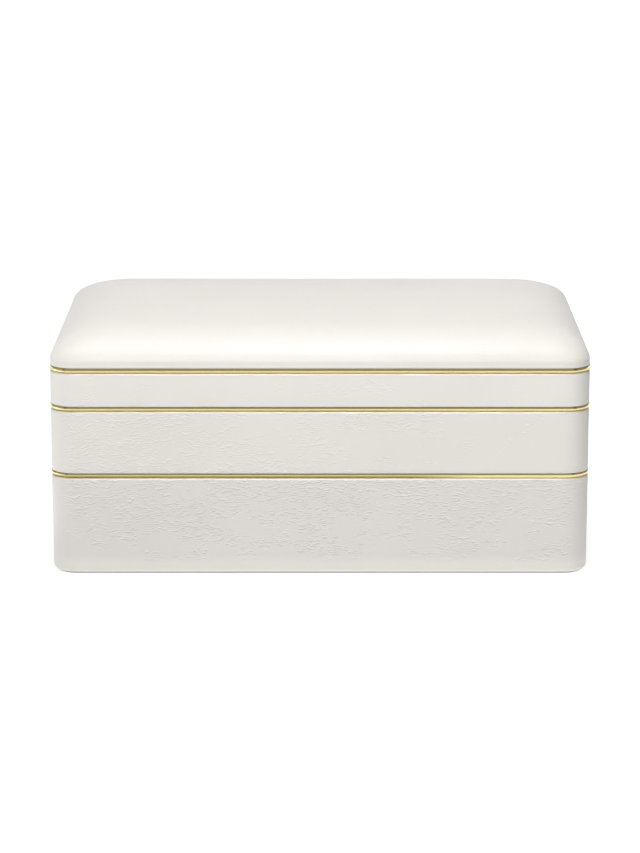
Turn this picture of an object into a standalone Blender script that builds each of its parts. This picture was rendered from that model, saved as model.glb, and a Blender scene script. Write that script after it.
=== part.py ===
"""Stacking jewellery box: a deep bottom tray, a middle tray, a thin top tray and a padded, hinged lid.

World frame: +X to the viewer's right, +Y to the rear, +Z up, metres. The origin is the centre of the
case in plan, on the surface that the box stands on. The front faces -Y.

Every wall, rim, lining and fold follows one rounded rectangle. A piece's place in the wall is its
inset: how far it lies inside the outer face of the leather. A negative inset stands proud of it.
"""

import math

import bmesh
import bpy
from mathutils import Vector

for old in list(bpy.data.objects):
    bpy.data.objects.remove(old, do_unlink=True)

MM = 0.001

# ---------------------------------------------------------------- driving dimensions
CASE_WIDTH = 280.0 * MM
CASE_DEPTH = 182.0 * MM
CORNER_RADIUS = 12.8 * MM
CORNER_STEPS = 5

GAP = 0.3 * MM  # between pieces that touch
SKIN = 0.8 * MM  # leather, lining
TRIM_HEIGHT = 2.4 * MM  # the gold bead as seen from the front
TRIM_PROUD = 0.6 * MM
TRIM_TOP_WIDTH = 3.2 * MM  # how far the trim covers the wall's top edge
WALL_OUTER = SKIN + GAP  # inset of the frame's outer face
WALL_INNER = 5.9 * MM  # inset of the frame's inner face
LINING_INSET = 7.0 * MM  # inset of the lining's visible face
PLINTH_INSET = 8.0 * MM
PLINTH_DROP = 3.7 * MM  # how far a tray's plinth reaches into the tray below

# centre heights of the three gold trims
TRIM_BOTTOM = 52.8 * MM
TRIM_MIDDLE = 88.2 * MM
TRIM_TOP = 108.4 * MM

BOTTOM_FILLET = 3.0 * MM
TRAY_FILLET = 1.6 * MM
BOTTOM_FOLD = 15.0 * MM  # inset where the leather folded under the bottom tray ends
FELT_INSET = 15.3 * MM

BOTTOM_BOARD = 3.0 * MM
MIDDLE_BOARD = 2.6 * MM
TOP_BOARD = 2.0 * MM

# lid
LID_FILLET = 2.0 * MM
LID_STRAIGHT = 2.6 * MM  # nearly upright part of the padded side, above the lid's lowest point
SHOULDER_IN = 29.0 * MM
SHOULDER_UP = 14.4 * MM
SHOULDER_POWER = 1.94
CROWN = 3.0 * MM
CROWN_FLAT_INSET = 70.0 * MM
LID_FRAME_INSET = 1.7 * MM
LID_FRAME_INNER = 9.9 * MM
LID_FRAME_HEIGHT = 4.2 * MM
LID_BOARD = 2.5 * MM
LID_BOARD_INSET = 4.6 * MM
LID_FOLD = 7.5 * MM
LID_LINING_INSET = 11.0 * MM
MIRROR_INSET = 22.0 * MM
MIRROR_THICK = 1.5 * MM
MIRROR_RADIUS = 8.0 * MM

# dividers and ring rolls
DIVIDER = 3.6 * MM
BOTTOM_DIVIDER_HEIGHT = 38.0 * MM
MIDDLE_DIVIDER_HEIGHT = 22.0 * MM
TOP_DIVIDER_HEIGHT = 12.0 * MM
ROLL_COUNT = 8
ROLL_PITCH = 13.3 * MM
ROLL_WIDTH = 12.6 * MM
ROLL_HEIGHT = 11.4 * MM
ROLL_HALF = 81.0 * MM  # half its length: its ends clear the lining's rounded corners
ROLL_FIRST_X = -125.4 * MM

# hinges
HINGE_X = 80.0 * MM
HINGE_HALF = 12.0 * MM
KNUCKLE_RADIUS = 1.5 * MM
PIN_RADIUS = 0.7 * MM
PIN_HOLE_RADIUS = 0.8 * MM
LEAF = 0.8 * MM
KNUCKLE_HALF = 3.9 * MM  # half the length of the lid's knuckle
LOWER_LEAF_HEIGHT = 11.4 * MM
UPPER_LEAF_REACH = 9.0 * MM
STOP_DROP = 1.8 * MM  # the stop bar's top lies this far below the pin
NIB_RADIUS = 2.0 * MM
NIB_ANGLE = math.radians(58.0)
SCREW_HEAD_RADIUS = 1.45 * MM
SCREW_RADIUS = 0.7 * MM
SCREW_LENGTH = 4.6 * MM
SCREW_X = 7.5 * MM

# ---------------------------------------------------------------- worked-out levels
HALF_W = CASE_WIDTH / 2
HALF_D = CASE_DEPTH / 2
HALF_TRIM = TRIM_HEIGHT / 2
BOTTOM_Z = GAP  # the leather clears the table, the felt stands on it
MIDDLE_Z = TRIM_BOTTOM + HALF_TRIM + GAP
TOP_Z = TRIM_MIDDLE + HALF_TRIM + GAP
LID_Z = TRIM_TOP + HALF_TRIM + GAP
SHOULDER_Z = LID_Z + LID_STRAIGHT - 0.1 * MM
HINGE_Y = HALF_D + GAP + KNUCKLE_RADIUS
HINGE_Z = LID_Z - GAP / 2

box = bpy.data.collections.new("stacking_jewelry_box")
cutters = bpy.data.collections.new("cutters")
bpy.context.scene.collection.children.link(box)
bpy.context.scene.collection.children.link(cutters)

CREAM = (0.776, 0.747, 0.697)
FINISHES = {
    "leather": (CREAM, 0.48, 0.0),
    "lid_leather": ((0.82, 0.79, 0.74), 0.42, 0.0),
    "gold": ((0.80, 0.68, 0.37), 0.16, 1.0),
    "velvet": ((0.60, 0.55, 0.47), 0.92, 0.0),
    "felt": ((0.52, 0.48, 0.42), 0.96, 0.0),
    "board": ((0.45, 0.36, 0.26), 0.80, 0.0),
    "foam": ((0.86, 0.84, 0.78), 0.95, 0.0),
    "mirror": ((0.92, 0.93, 0.93), 0.03, 1.0),
    "hinge": ((0.78, 0.66, 0.38), 0.28, 1.0),
}


# ---------------------------------------------------------------- helpers
def finish(obj, kind):
    colour, roughness, metallic = FINISHES[kind]
    material = bpy.data.materials.new(obj.name + "_finish")
    material.use_nodes = True
    shader = material.node_tree.nodes["Principled BSDF"]
    shader.inputs["Base Color"].default_value = (*colour, 1.0)
    shader.inputs["Roughness"].default_value = roughness
    shader.inputs["Metallic"].default_value = metallic
    material.diffuse_color = (*colour, 1.0)
    obj.data.materials.append(material)


def outline(inset, radius=None, steps=CORNER_STEPS):
    """The rounded rectangle at an inset, anticlockwise from the front right corner."""
    if radius is None:
        radius = max(CORNER_RADIUS - inset, 2.6 * MM)
    half_x, half_y = HALF_W - inset, HALF_D - inset
    radius = min(radius, half_y * 0.96)
    points = []
    for sx, sy, start in ((1, -1, -90), (1, 1, 0), (-1, 1, 90), (-1, -1, 180)):
        for i in range(steps + 1):
            a = math.radians(start + 90.0 * i / steps)
            points.append(
                (
                    sx * (half_x - radius) + radius * math.cos(a),
                    sy * (half_y - radius) + radius * math.sin(a),
                )
            )
    return points


def fillet(centre_inset, centre_z, radius, start, end, steps):
    """Points of a rounded edge in the wall's section, by angle: 0 points inwards, 90 up."""
    return [
        (
            centre_inset + radius * math.cos(math.radians(start + (end - start) * i / steps)),
            centre_z + radius * math.sin(math.radians(start + (end - start) * i / steps)),
        )
        for i in range(steps + 1)
    ]


def follow(name, section, kind, closed=True, fill_first=False, fill_last=False, radius=None):
    """A section carried round the case: a ring at the first (inset, z), extruded to each of the others."""
    bm = bmesh.new()
    ring = [bm.verts.new((x, y, section[0][1])) for x, y in outline(section[0][0], radius)]
    edges = [bm.edges.new((a, b)) for a, b in zip(ring, ring[1:] + ring[:1])]
    first = list(edges)
    for inset, z in section[1:] + (section[:1] if closed else []):
        made = bmesh.ops.extrude_edge_only(bm, edges=edges)["geom"]
        new_verts = {v for v in made if isinstance(v, bmesh.types.BMVert)}
        ring = [
            next(e.other_vert(v) for e in v.link_edges if e.other_vert(v) in new_verts)
            for v in ring
        ]
        for vert, (x, y) in zip(ring, outline(inset, radius)):
            vert.co = (x, y, z)
        edges = [
            e
            for e in made
            if isinstance(e, bmesh.types.BMEdge) and all(v in new_verts for v in e.verts)
        ]
    if closed:
        bmesh.ops.remove_doubles(bm, verts=bm.verts, dist=1e-6)
    if fill_first:
        bmesh.ops.edgeloop_fill(bm, edges=first)
    if fill_last:
        bmesh.ops.edgeloop_fill(bm, edges=edges)
    bmesh.ops.recalc_face_normals(bm, faces=bm.faces)
    return from_bmesh(name, bm, kind)


def from_bmesh(name, bm, kind, collection=None):
    mesh = bpy.data.meshes.new(name)
    bm.to_mesh(mesh)
    bm.free()
    obj = bpy.data.objects.new(name, mesh)
    (collection or box).objects.link(obj)
    if kind:
        finish(obj, kind)
    return obj


def shell(obj, thickness, outwards_z, at_top_of_normal):
    """Gives an open surface its thickness, away from the side that is seen.

    outwards_z is True where the widest upward or downward face should look up.
    """
    mesh = obj.data
    face = max(mesh.polygons, key=lambda p: p.area * abs(p.normal.z))
    if (face.normal.z > 0) != outwards_z:
        mesh.flip_normals()
    solid = obj.modifiers.new("thickness", "SOLIDIFY")
    solid.thickness = thickness
    solid.offset = 1.0 if at_top_of_normal else -1.0
    solid.use_even_offset = True
    solid.use_quality_normals = True
    return obj


def board(name, inset, low, high, kind, radius=None):
    """A flat board of the case's outline."""
    curve = bpy.data.curves.new(name, "CURVE")
    curve.dimensions = "2D"
    curve.fill_mode = "BOTH"
    curve.extrude = (high - low) / 2
    points = outline(inset, radius)
    spline = curve.splines.new("POLY")
    spline.points.add(len(points) - 1)
    for point, (x, y) in zip(spline.points, points):
        point.co = (x, y, 0.0, 1.0)
    spline.use_cyclic_u = True
    obj = bpy.data.objects.new(name, curve)
    obj.location.z = (high + low) / 2
    box.objects.link(obj)
    finish(obj, kind)
    return obj


def block(name, low, high, kind, rounded=0.0, top_only=True, collection=None):
    """A cuboid between two corners, with its upper edges rounded."""
    bm = bmesh.new()
    bmesh.ops.create_cube(bm, size=1.0)
    low, high = Vector(low), Vector(high)
    bmesh.ops.scale(bm, vec=high - low, verts=bm.verts)
    bmesh.ops.translate(bm, vec=(high + low) / 2, verts=bm.verts)
    if rounded:
        edges = [
            e
            for e in bm.edges
            if not top_only or all(v.co.z > high.z - 1e-6 for v in e.verts)
        ]
        bmesh.ops.bevel(
            bm, geom=edges, offset=rounded, segments=2, profile=0.5, affect="EDGES"
        )
    return from_bmesh(name, bm, kind, collection)


def rod(name, start, end, radius, kind, radius_end=None, sides=16, collection=None):
    """A cylinder or a cone between two points."""
    start, end = Vector(start), Vector(end)
    bm = bmesh.new()
    bmesh.ops.create_cone(
        bm,
        cap_ends=True,
        cap_tris=False,
        segments=sides,
        radius1=radius,
        radius2=radius if radius_end is None else radius_end,
        depth=(end - start).length,
    )
    turn = Vector((0, 0, 1)).rotation_difference(end - start).to_matrix()
    bmesh.ops.rotate(bm, cent=(0, 0, 0), matrix=turn, verts=bm.verts)
    bmesh.ops.translate(bm, vec=(start + end) / 2, verts=bm.verts)
    return from_bmesh(name, bm, kind, collection)


def as_tool(obj):
    obj.hide_render = True
    obj.display_type = "WIRE"
    return obj


def boolean(obj, tool, operation):
    as_tool(tool)
    cut = obj.modifiers.new(operation.lower() + "_" + tool.name, "BOOLEAN")
    cut.operation = operation
    cut.solver = "EXACT"
    cut.object = tool


def hang(parts, empty):
    for part in parts:
        part.parent = empty
        part.matrix_parent_inverse = empty.matrix_world.inverted()


def axis_empty(name, location, parent=None):
    empty = bpy.data.objects.new(name, None)
    empty.empty_display_size = 0.02
    empty.location = location
    box.objects.link(empty)
    bpy.context.view_layer.update()
    if parent:
        empty.parent = parent
        empty.matrix_parent_inverse = parent.matrix_world.inverted()
        bpy.context.view_layer.update()
    return empty


# ---------------------------------------------------------------- one tray's carcass
def trim_section(z):
    """The gold trim: a rounded bead outside, a flat lip over the wall's top edge."""
    low, high = z - HALF_TRIM, z + HALF_TRIM
    return [
        (SKIN, low),
        (0.15 * MM, low),
        (-0.4 * MM, low + 0.35 * MM),
        (-TRIM_PROUD, low + 0.85 * MM),
        (-TRIM_PROUD, high - 0.85 * MM),
        (-0.4 * MM, high - 0.35 * MM),
        (0.15 * MM, high),
        (TRIM_TOP_WIDTH, high),
        (TRIM_TOP_WIDTH, high - 1.0 * MM),
        (SKIN, high - 1.0 * MM),
    ]


def tray(name, low, trim_z, board_thick, edge_radius, fold_to):
    """Leather wrap, frame, gold trim, base board and lining of one tray. Returns them and the floor's level."""
    # the leather runs down from under the trim, round the lower edge and under the tray
    wrap = follow(
        name + "_leather",
        [(0.0, trim_z - HALF_TRIM - GAP)]
        + fillet(edge_radius, low + edge_radius, edge_radius, 180, 270, 3)
        + [(fold_to, low)],
        "leather",
        closed=False,
    )
    shell(wrap, SKIN, outwards_z=False, at_top_of_normal=False)

    frame_low = low + SKIN + GAP
    frame_top = trim_z + HALF_TRIM - 1.0 * MM - GAP
    inner_radius = max(edge_radius - SKIN - GAP, 0.5 * MM)
    frame = follow(
        name + "_frame",
        fillet(
            WALL_OUTER + inner_radius, frame_low + inner_radius, inner_radius, 180, 270, 2
        )
        + [(WALL_INNER, frame_low), (WALL_INNER, frame_top), (WALL_OUTER, frame_top)],
        "board",
    )

    trim = follow(name + "_trim", trim_section(trim_z), "gold")

    base = board(
        name + "_base_board", WALL_INNER + GAP, frame_low, frame_low + board_thick, "board"
    )

    floor = frame_low + board_thick + GAP + SKIN
    lip = trim_z + HALF_TRIM - 0.2 * MM
    lining = follow(
        name + "_lining",
        [
            (TRIM_TOP_WIDTH + GAP, lip),
            (LINING_INSET - 0.5 * MM, lip),
            (LINING_INSET, lip - 0.5 * MM),
            (LINING_INSET, floor),
        ],
        "velvet",
        closed=False,
        fill_last=True,
    )
    shell(lining, SKIN, outwards_z=True, at_top_of_normal=False)
    return [wrap, frame, trim, base, lining], floor


# ---------------------------------------------------------------- bottom tray
bottom, bottom_floor = tray(
    "bottom_tray", BOTTOM_Z, TRIM_BOTTOM, BOTTOM_BOARD, BOTTOM_FILLET, BOTTOM_FOLD
)
felt = board("bottom_tray_felt", FELT_INSET, 0.0, BOTTOM_Z + SKIN, "felt")
bottom.append(felt)

INNER_X = HALF_W - LINING_INSET - GAP
INNER_Y = HALF_D - LINING_INSET - GAP
HALF_DIVIDER = DIVIDER / 2


def divider(name, x0, x1, y0, y1, floor, height):
    return block(
        name,
        (x0, y0, floor + GAP),
        (x1, y1, floor + GAP + height),
        "velvet",
        rounded=1.1 * MM,
    )


CROSS_X = 30.0 * MM
bottom.append(
    divider(
        "bottom_tray_cross_divider",
        CROSS_X - HALF_DIVIDER,
        CROSS_X + HALF_DIVIDER,
        -INNER_Y,
        INNER_Y,
        bottom_floor,
        BOTTOM_DIVIDER_HEIGHT,
    )
)
bottom.append(
    divider(
        "bottom_tray_side_divider",
        CROSS_X + HALF_DIVIDER + GAP,
        INNER_X,
        -HALF_DIVIDER,
        HALF_DIVIDER,
        bottom_floor,
        BOTTOM_DIVIDER_HEIGHT,
    )
)

# ---------------------------------------------------------------- middle tray
middle, middle_floor = tray(
    "middle_tray", MIDDLE_Z, TRIM_MIDDLE, MIDDLE_BOARD, TRAY_FILLET, PLINTH_INSET - 0.4 * MM
)
middle.append(
    board(
        "middle_tray_plinth", PLINTH_INSET, MIDDLE_Z - PLINTH_DROP, MIDDLE_Z + SKIN, "velvet"
    )
)
ROW_Y = -12.0 * MM
middle.append(
    divider(
        "middle_tray_long_divider",
        -INNER_X,
        INNER_X,
        ROW_Y - HALF_DIVIDER,
        ROW_Y + HALF_DIVIDER,
        middle_floor,
        MIDDLE_DIVIDER_HEIGHT,
    )
)
for side, x in (("left", -66.5 * MM), ("centre", 0.0), ("right", 66.5 * MM)):
    middle.append(
        divider(
            "middle_tray_back_divider_" + side,
            x - HALF_DIVIDER,
            x + HALF_DIVIDER,
            ROW_Y + HALF_DIVIDER + GAP,
            INNER_Y,
            middle_floor,
            MIDDLE_DIVIDER_HEIGHT,
        )
    )
FRONT_X = 44.0 * MM
middle.append(
    divider(
        "middle_tray_front_divider",
        FRONT_X - HALF_DIVIDER,
        FRONT_X + HALF_DIVIDER,
        -INNER_Y,
        ROW_Y - HALF_DIVIDER - GAP,
        middle_floor,
        MIDDLE_DIVIDER_HEIGHT,
    )
)

# ---------------------------------------------------------------- top tray
top, top_floor = tray(
    "top_tray", TOP_Z, TRIM_TOP, TOP_BOARD, TRAY_FILLET, PLINTH_INSET - 0.4 * MM
)
top.append(
    board("top_tray_plinth", PLINTH_INSET, TOP_Z - PLINTH_DROP, TOP_Z + SKIN, "velvet")
)


def ring_roll(name, x):
    """A velvet roll that runs front to back: upright sides, half-round top."""
    half = ROLL_WIDTH / 2
    steps = 8
    points = [(-half, 0.0), (half, 0.0)]
    spring = ROLL_HEIGHT - half
    for i in range(steps + 1):
        a = math.pi * i / steps
        points.append((half * math.cos(a), spring + half * math.sin(a)))
    curve = bpy.data.curves.new(name, "CURVE")
    curve.dimensions = "2D"
    curve.fill_mode = "BOTH"
    curve.extrude = ROLL_HALF
    spline = curve.splines.new("POLY")
    spline.points.add(len(points) - 1)
    for point, (u, v) in zip(spline.points, points):
        point.co = (u, v, 0.0, 1.0)
    spline.use_cyclic_u = True
    obj = bpy.data.objects.new(name, curve)
    obj.rotation_euler = (math.radians(90), 0, 0)
    obj.location = (x, 0.0, top_floor + GAP)
    box.objects.link(obj)
    finish(obj, "velvet")
    return obj


for i in range(ROLL_COUNT):
    top.append(ring_roll("ring_roll_%d" % (i + 1), ROLL_FIRST_X + i * ROLL_PITCH))

RING_WALL_X = ROLL_FIRST_X + (ROLL_COUNT - 1) * ROLL_PITCH + ROLL_WIDTH / 2 + 0.6 * MM
top.append(
    divider(
        "top_tray_ring_divider",
        RING_WALL_X,
        RING_WALL_X + DIVIDER,
        -INNER_Y,
        INNER_Y,
        top_floor,
        TOP_DIVIDER_HEIGHT,
    )
)
CELL_X = RING_WALL_X + DIVIDER + GAP
CELL_SPAN = INNER_X - CELL_X
top.append(
    divider(
        "top_tray_long_divider",
        CELL_X,
        INNER_X,
        -HALF_DIVIDER,
        HALF_DIVIDER,
        top_floor,
        TOP_DIVIDER_HEIGHT,
    )
)
for word, share in (("left", 1 / 3), ("right", 2 / 3)):
    x = CELL_X + CELL_SPAN * share
    top.append(
        divider(
            "top_tray_back_divider_" + word,
            x - HALF_DIVIDER,
            x + HALF_DIVIDER,
            HALF_DIVIDER + GAP,
            INNER_Y,
            top_floor,
            TOP_DIVIDER_HEIGHT,
        )
    )
x = CELL_X + CELL_SPAN / 2
top.append(
    divider(
        "top_tray_front_divider",
        x - HALF_DIVIDER,
        x + HALF_DIVIDER,
        -INNER_Y,
        -HALF_DIVIDER - GAP,
        top_floor,
        TOP_DIVIDER_HEIGHT,
    )
)


# ---------------------------------------------------------------- lid
def lid_rise(inset):
    """Height of the padded top over the end of its upright side, at an inset."""
    t = min(inset / SHOULDER_IN, 1.0)
    shoulder = (1.0 - (1.0 - t) ** SHOULDER_POWER) ** (1.0 / SHOULDER_POWER)
    crown = 1.0 - (1.0 - inset / HALF_D) ** 2
    return SHOULDER_UP * shoulder + CROWN * crown


def lid_section(offset=0.0, steps=8):
    """The padded top's section from its upright side to the crown, moved inwards along its normal."""
    insets = [SHOULDER_IN * (1.0 - math.cos(math.pi / 2 * i / steps)) for i in range(steps + 1)]
    insets += [44.0 * MM, CROWN_FLAT_INSET]
    points = []
    for s in insets:
        z = SHOULDER_Z + lid_rise(s)
        if offset:
            step = 0.02 * MM
            back, ahead = max(s - step, 0.0), s + step
            run, rise = ahead - back, lid_rise(ahead) - lid_rise(back)
            length = math.hypot(run, rise)
            points.append((s + offset * rise / length, z - offset * run / length))
        else:
            points.append((s, z))
    return points


lid_cover = follow(
    "lid_leather",
    [(LID_FOLD, LID_Z)]
    + fillet(LID_FILLET, LID_Z + LID_FILLET, LID_FILLET, 270, 180, 3)
    + lid_section(),
    "lid_leather",
    closed=False,
    fill_last=True,
    radius=CORNER_RADIUS,
)
shell(lid_cover, SKIN, outwards_z=True, at_top_of_normal=False)

frame_low = LID_Z + SKIN + GAP
frame_top = frame_low + LID_FRAME_HEIGHT
lid_frame = follow(
    "lid_frame",
    [
        (LID_FRAME_INSET, frame_low),
        (LID_FRAME_INNER, frame_low),
        (LID_FRAME_INNER, frame_top),
        (LID_FRAME_INSET, frame_top),
    ],
    "board",
    radius=CORNER_RADIUS,
)
board_low = frame_top + GAP
board_top = board_low + LID_BOARD
lid_board = board(
    "lid_board", LID_BOARD_INSET, board_low, board_top, "board", radius=CORNER_RADIUS
)

foam_low = board_top + GAP
under_leather = [p for p in lid_section(SKIN + GAP) if p[1] > foam_low + 0.4 * MM]
foam_edge = under_leather[0][0] - 0.3 * MM
lid_foam = follow(
    "lid_foam",
    [(foam_edge + 0.6 * MM, foam_low)] + under_leather,
    "foam",
    closed=False,
    fill_first=True,
    fill_last=True,
    radius=CORNER_RADIUS,
)


lining_high = board_low - GAP - SKIN
lid_lining = follow(
    "lid_lining",
    [
        (LID_FOLD + GAP, LID_Z),
        (LID_LINING_INSET - 0.5 * MM, LID_Z),
        (LID_LINING_INSET, LID_Z + 0.5 * MM),
        (LID_LINING_INSET, lining_high),
    ],
    "velvet",
    closed=False,
    fill_last=True,
    radius=CORNER_RADIUS,
)
shell(lid_lining, SKIN, outwards_z=False, at_top_of_normal=False)

mirror = board(
    "lid_mirror",
    MIRROR_INSET,
    lining_high - GAP - MIRROR_THICK,
    lining_high - GAP,
    "mirror",
    radius=MIRROR_RADIUS,
)
lid = [lid_cover, lid_frame, lid_board, lid_foam, lid_lining, mirror]


# ---------------------------------------------------------------- hinges
def screw(name, head, direction):
    """A countersunk wood screw: flat head, cone, plain shank with a pointed end."""
    head, direction = Vector(head), Vector(direction)
    body = rod(
        name,
        head,
        head + direction * 0.85 * MM,
        SCREW_HEAD_RADIUS,
        "hinge",
        radius_end=SCREW_RADIUS,
        sides=12,
    )
    shank = rod(
        name + "_shank",
        head + direction * 0.5 * MM,
        head + direction * (SCREW_LENGTH - 1.0 * MM),
        SCREW_RADIUS,
        None,
        sides=12,
        collection=cutters,
    )
    tip = rod(
        name + "_tip",
        head + direction * (SCREW_LENGTH - 1.2 * MM),
        head + direction * SCREW_LENGTH,
        SCREW_RADIUS * 0.98,
        None,
        radius_end=0.15 * MM,
        sides=12,
        collection=cutters,
    )
    boolean(body, shank, "UNION")
    boolean(body, tip, "UNION")
    return body


def screw_hole(target, name, head, direction, start, end):
    """A clearance hole for a screw, between two distances from its head."""
    head, direction = Vector(head), Vector(direction)
    tool = rod(
        name,
        head + direction * start,
        head + direction * end,
        SCREW_RADIUS + 0.3 * MM,
        None,
        sides=12,
        collection=cutters,
    )
    boolean(target, tool, "DIFFERENCE")


top_leather, top_frame, top_trim = top[0], top[1], top[2]

for side, cx in (("left", -HINGE_X), ("right", HINGE_X)):
    name = "hinge_" + side
    face_y = HALF_D + GAP  # the lower leaf's inner face
    plate_top = HINGE_Z - STOP_DROP

    # lower leaf: an upright plate on the rear wall, two end knuckles and a stop bar
    lower = block(
        name + "_lower_leaf",
        (cx - HINGE_HALF, face_y, plate_top - LOWER_LEAF_HEIGHT),
        (cx + HINGE_HALF, face_y + LEAF, plate_top),
        "hinge",
    )
    bar = block(
        name + "_stop_bar",
        (cx - KNUCKLE_HALF, face_y + LEAF * 0.4, plate_top - 1.2 * MM),
        (cx + KNUCKLE_HALF, HINGE_Y + KNUCKLE_RADIUS, plate_top - 0.001 * MM),
        None,
        collection=cutters,
    )
    boolean(lower, bar, "UNION")
    for end, sign in (("a", -1), ("b", 1)):
        near, far = KNUCKLE_HALF + GAP, HINGE_HALF - 0.02 * MM
        neck = block(
            name + "_neck_" + end,
            (
                cx + min(sign * near, sign * far),
                face_y + 0.01 * MM,
                plate_top - 0.5 * MM,
            ),
            (
                cx + max(sign * near, sign * far),
                face_y + LEAF + 0.05 * MM,
                HINGE_Z,
            ),
            None,
            collection=cutters,
        )
        boolean(lower, neck, "UNION")
        knuckle = rod(
            name + "_lower_knuckle_" + end,
            (cx + sign * near, HINGE_Y, HINGE_Z),
            (cx + sign * HINGE_HALF, HINGE_Y, HINGE_Z),
            KNUCKLE_RADIUS,
            None,
            collection=cutters,
        )
        boolean(lower, knuckle, "UNION")
    bore = rod(
        name + "_bore",
        (cx - HINGE_HALF - 2 * MM, HINGE_Y, HINGE_Z),
        (cx + HINGE_HALF + 2 * MM, HINGE_Y, HINGE_Z),
        PIN_HOLE_RADIUS,
        None,
        collection=cutters,
    )
    boolean(lower, bore, "DIFFERENCE")
    top.append(lower)

    # upper leaf: a plate under the lid's rear edge, one middle knuckle with a stop nib
    leaf_low = LID_Z + 0.1 * MM
    upper = block(
        name + "_upper_leaf",
        (cx - HINGE_HALF, HALF_D - UPPER_LEAF_REACH, leaf_low),
        (cx + HINGE_HALF, HALF_D - 0.1 * MM, leaf_low + LEAF),
        "hinge",
    )
    root = block(
        name + "_root",
        (cx - KNUCKLE_HALF + 0.01 * MM, HALF_D - 1.0 * MM, leaf_low + 0.01 * MM),
        (cx + KNUCKLE_HALF - 0.01 * MM, HINGE_Y, leaf_low + LEAF - 0.01 * MM),
        None,
        collection=cutters,
    )
    boolean(upper, root, "UNION")
    middle_knuckle = rod(
        name + "_upper_knuckle",
        (cx - KNUCKLE_HALF, HINGE_Y, HINGE_Z),
        (cx + KNUCKLE_HALF, HINGE_Y, HINGE_Z),
        KNUCKLE_RADIUS,
        None,
        collection=cutters,
    )
    boolean(upper, middle_knuckle, "UNION")
    nib_end = Vector((0, math.cos(NIB_ANGLE), math.sin(NIB_ANGLE))) * NIB_RADIUS
    nib = block(
        name + "_nib",
        (-KNUCKLE_HALF + 0.4 * MM, 0.9 * MM, -0.5 * MM),
        (KNUCKLE_HALF - 0.4 * MM, NIB_RADIUS, 0.5 * MM),
        None,
        collection=cutters,
    )
    nib.rotation_euler = (NIB_ANGLE, 0, 0)
    nib.location = (cx, HINGE_Y, HINGE_Z)
    boolean(upper, nib, "UNION")
    boolean(upper, bore, "DIFFERENCE")
    lid.append(upper)

    # pin with two domed heads
    pin = rod(
        name + "_pin",
        (cx - HINGE_HALF - 0.5 * MM, HINGE_Y, HINGE_Z),
        (cx + HINGE_HALF + 0.5 * MM, HINGE_Y, HINGE_Z),
        PIN_RADIUS,
        "hinge",
    )
    for end, sign in (("a", -1), ("b", 1)):
        head = rod(
            name + "_pin_head_" + end,
            (cx + sign * (HINGE_HALF + GAP), HINGE_Y, HINGE_Z),
            (cx + sign * (HINGE_HALF + GAP + 0.6 * MM), HINGE_Y, HINGE_Z),
            1.2 * MM,
            None,
            radius_end=0.75 * MM,
            collection=cutters,
        )
        boolean(pin, head, "UNION")
    top.append(pin)

    # screws, and the holes and countersinks they sit in
    for end, sign in (("a", -1), ("b", 1)):
        sx = cx + sign * SCREW_X
        low_head = (sx, face_y + LEAF, plate_top - LOWER_LEAF_HEIGHT * 0.56)
        back = (0, -1, 0)
        sink = rod(
            name + "_lower_sink_" + end,
            Vector(low_head) + Vector((0, 0.05 * MM, 0)),
            Vector(low_head) + Vector((0, -LEAF - 0.1 * MM, 0)),
            SCREW_HEAD_RADIUS + 0.3 * MM,
            None,
            radius_end=SCREW_RADIUS + 0.25 * MM,
            sides=12,
            collection=cutters,
        )
        boolean(lower, sink, "DIFFERENCE")
        screw_hole(
            top_leather, name + "_leather_hole_" + end, low_head, back, 0.9 * MM, 2.1 * MM
        )
        screw_hole(
            top_frame, name + "_frame_hole_" + end, low_head, back, 2.0 * MM, SCREW_LENGTH + GAP
        )
        top.append(screw(name + "_lower_screw_" + end, low_head, back))

        lid_head = (sx, HALF_D - UPPER_LEAF_REACH * 0.56, leaf_low)
        up = (0, 0, 1)
        sink = rod(
            name + "_upper_sink_" + end,
            Vector(lid_head) - Vector((0, 0, 0.05 * MM)),
            Vector(lid_head) + Vector((0, 0, LEAF + 0.1 * MM)),
            SCREW_HEAD_RADIUS + 0.3 * MM,
            None,
            radius_end=SCREW_RADIUS + 0.25 * MM,
            sides=12,
            collection=cutters,
        )
        boolean(upper, sink, "DIFFERENCE")
        screw_hole(
            lid_frame, name + "_lid_hole_" + end, lid_head, up, 0.5 * MM, SCREW_LENGTH + 0.25 * MM
        )
        lid.append(screw(name + "_upper_screw_" + end, lid_head, up))

    # the trim is cut flush behind the knuckles, and the lid's leather leaves a pocket for the leaf
    notch = block(
        name + "_trim_notch",
        (cx - HINGE_HALF - 0.5 * MM, HALF_D, TRIM_TOP - 3 * MM),
        (cx + HINGE_HALF + 0.5 * MM, HALF_D + 3 * MM, TRIM_TOP + 3 * MM),
        None,
        collection=cutters,
    )
    boolean(top_trim, notch, "DIFFERENCE")
    pocket = block(
        name + "_lid_pocket",
        (cx - HINGE_HALF - 0.5 * MM, HALF_D - UPPER_LEAF_REACH - 0.4 * MM, LID_Z - 1 * MM),
        (cx + HINGE_HALF + 0.5 * MM, HALF_D + 1 * MM, leaf_low + LEAF + 0.2 * MM),
        None,
        collection=cutters,
    )
    boolean(lid_cover, pocket, "DIFFERENCE")
    boolean(lid_lining, pocket, "DIFFERENCE")

# ---------------------------------------------------------------- what moves with what
bpy.context.view_layer.update()
middle_lift = axis_empty("middle_tray_lift", (0, 0, MIDDLE_Z))
top_lift = axis_empty("top_tray_lift", (0, 0, TOP_Z), middle_lift)
lid_axis = axis_empty("lid_hinge_axis", (0, HINGE_Y, HINGE_Z), top_lift)
hang(middle, middle_lift)
hang(top, top_lift)
hang(lid, lid_axis)
bpy.context.view_layer.update()
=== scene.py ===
"""Looks of the stacking jewellery box: leather, gold trims, velvet, mirror, camera and light."""

import math
import random

import bmesh
import bpy
import numpy as np
from mathutils import Matrix, Vector, noise


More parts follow.
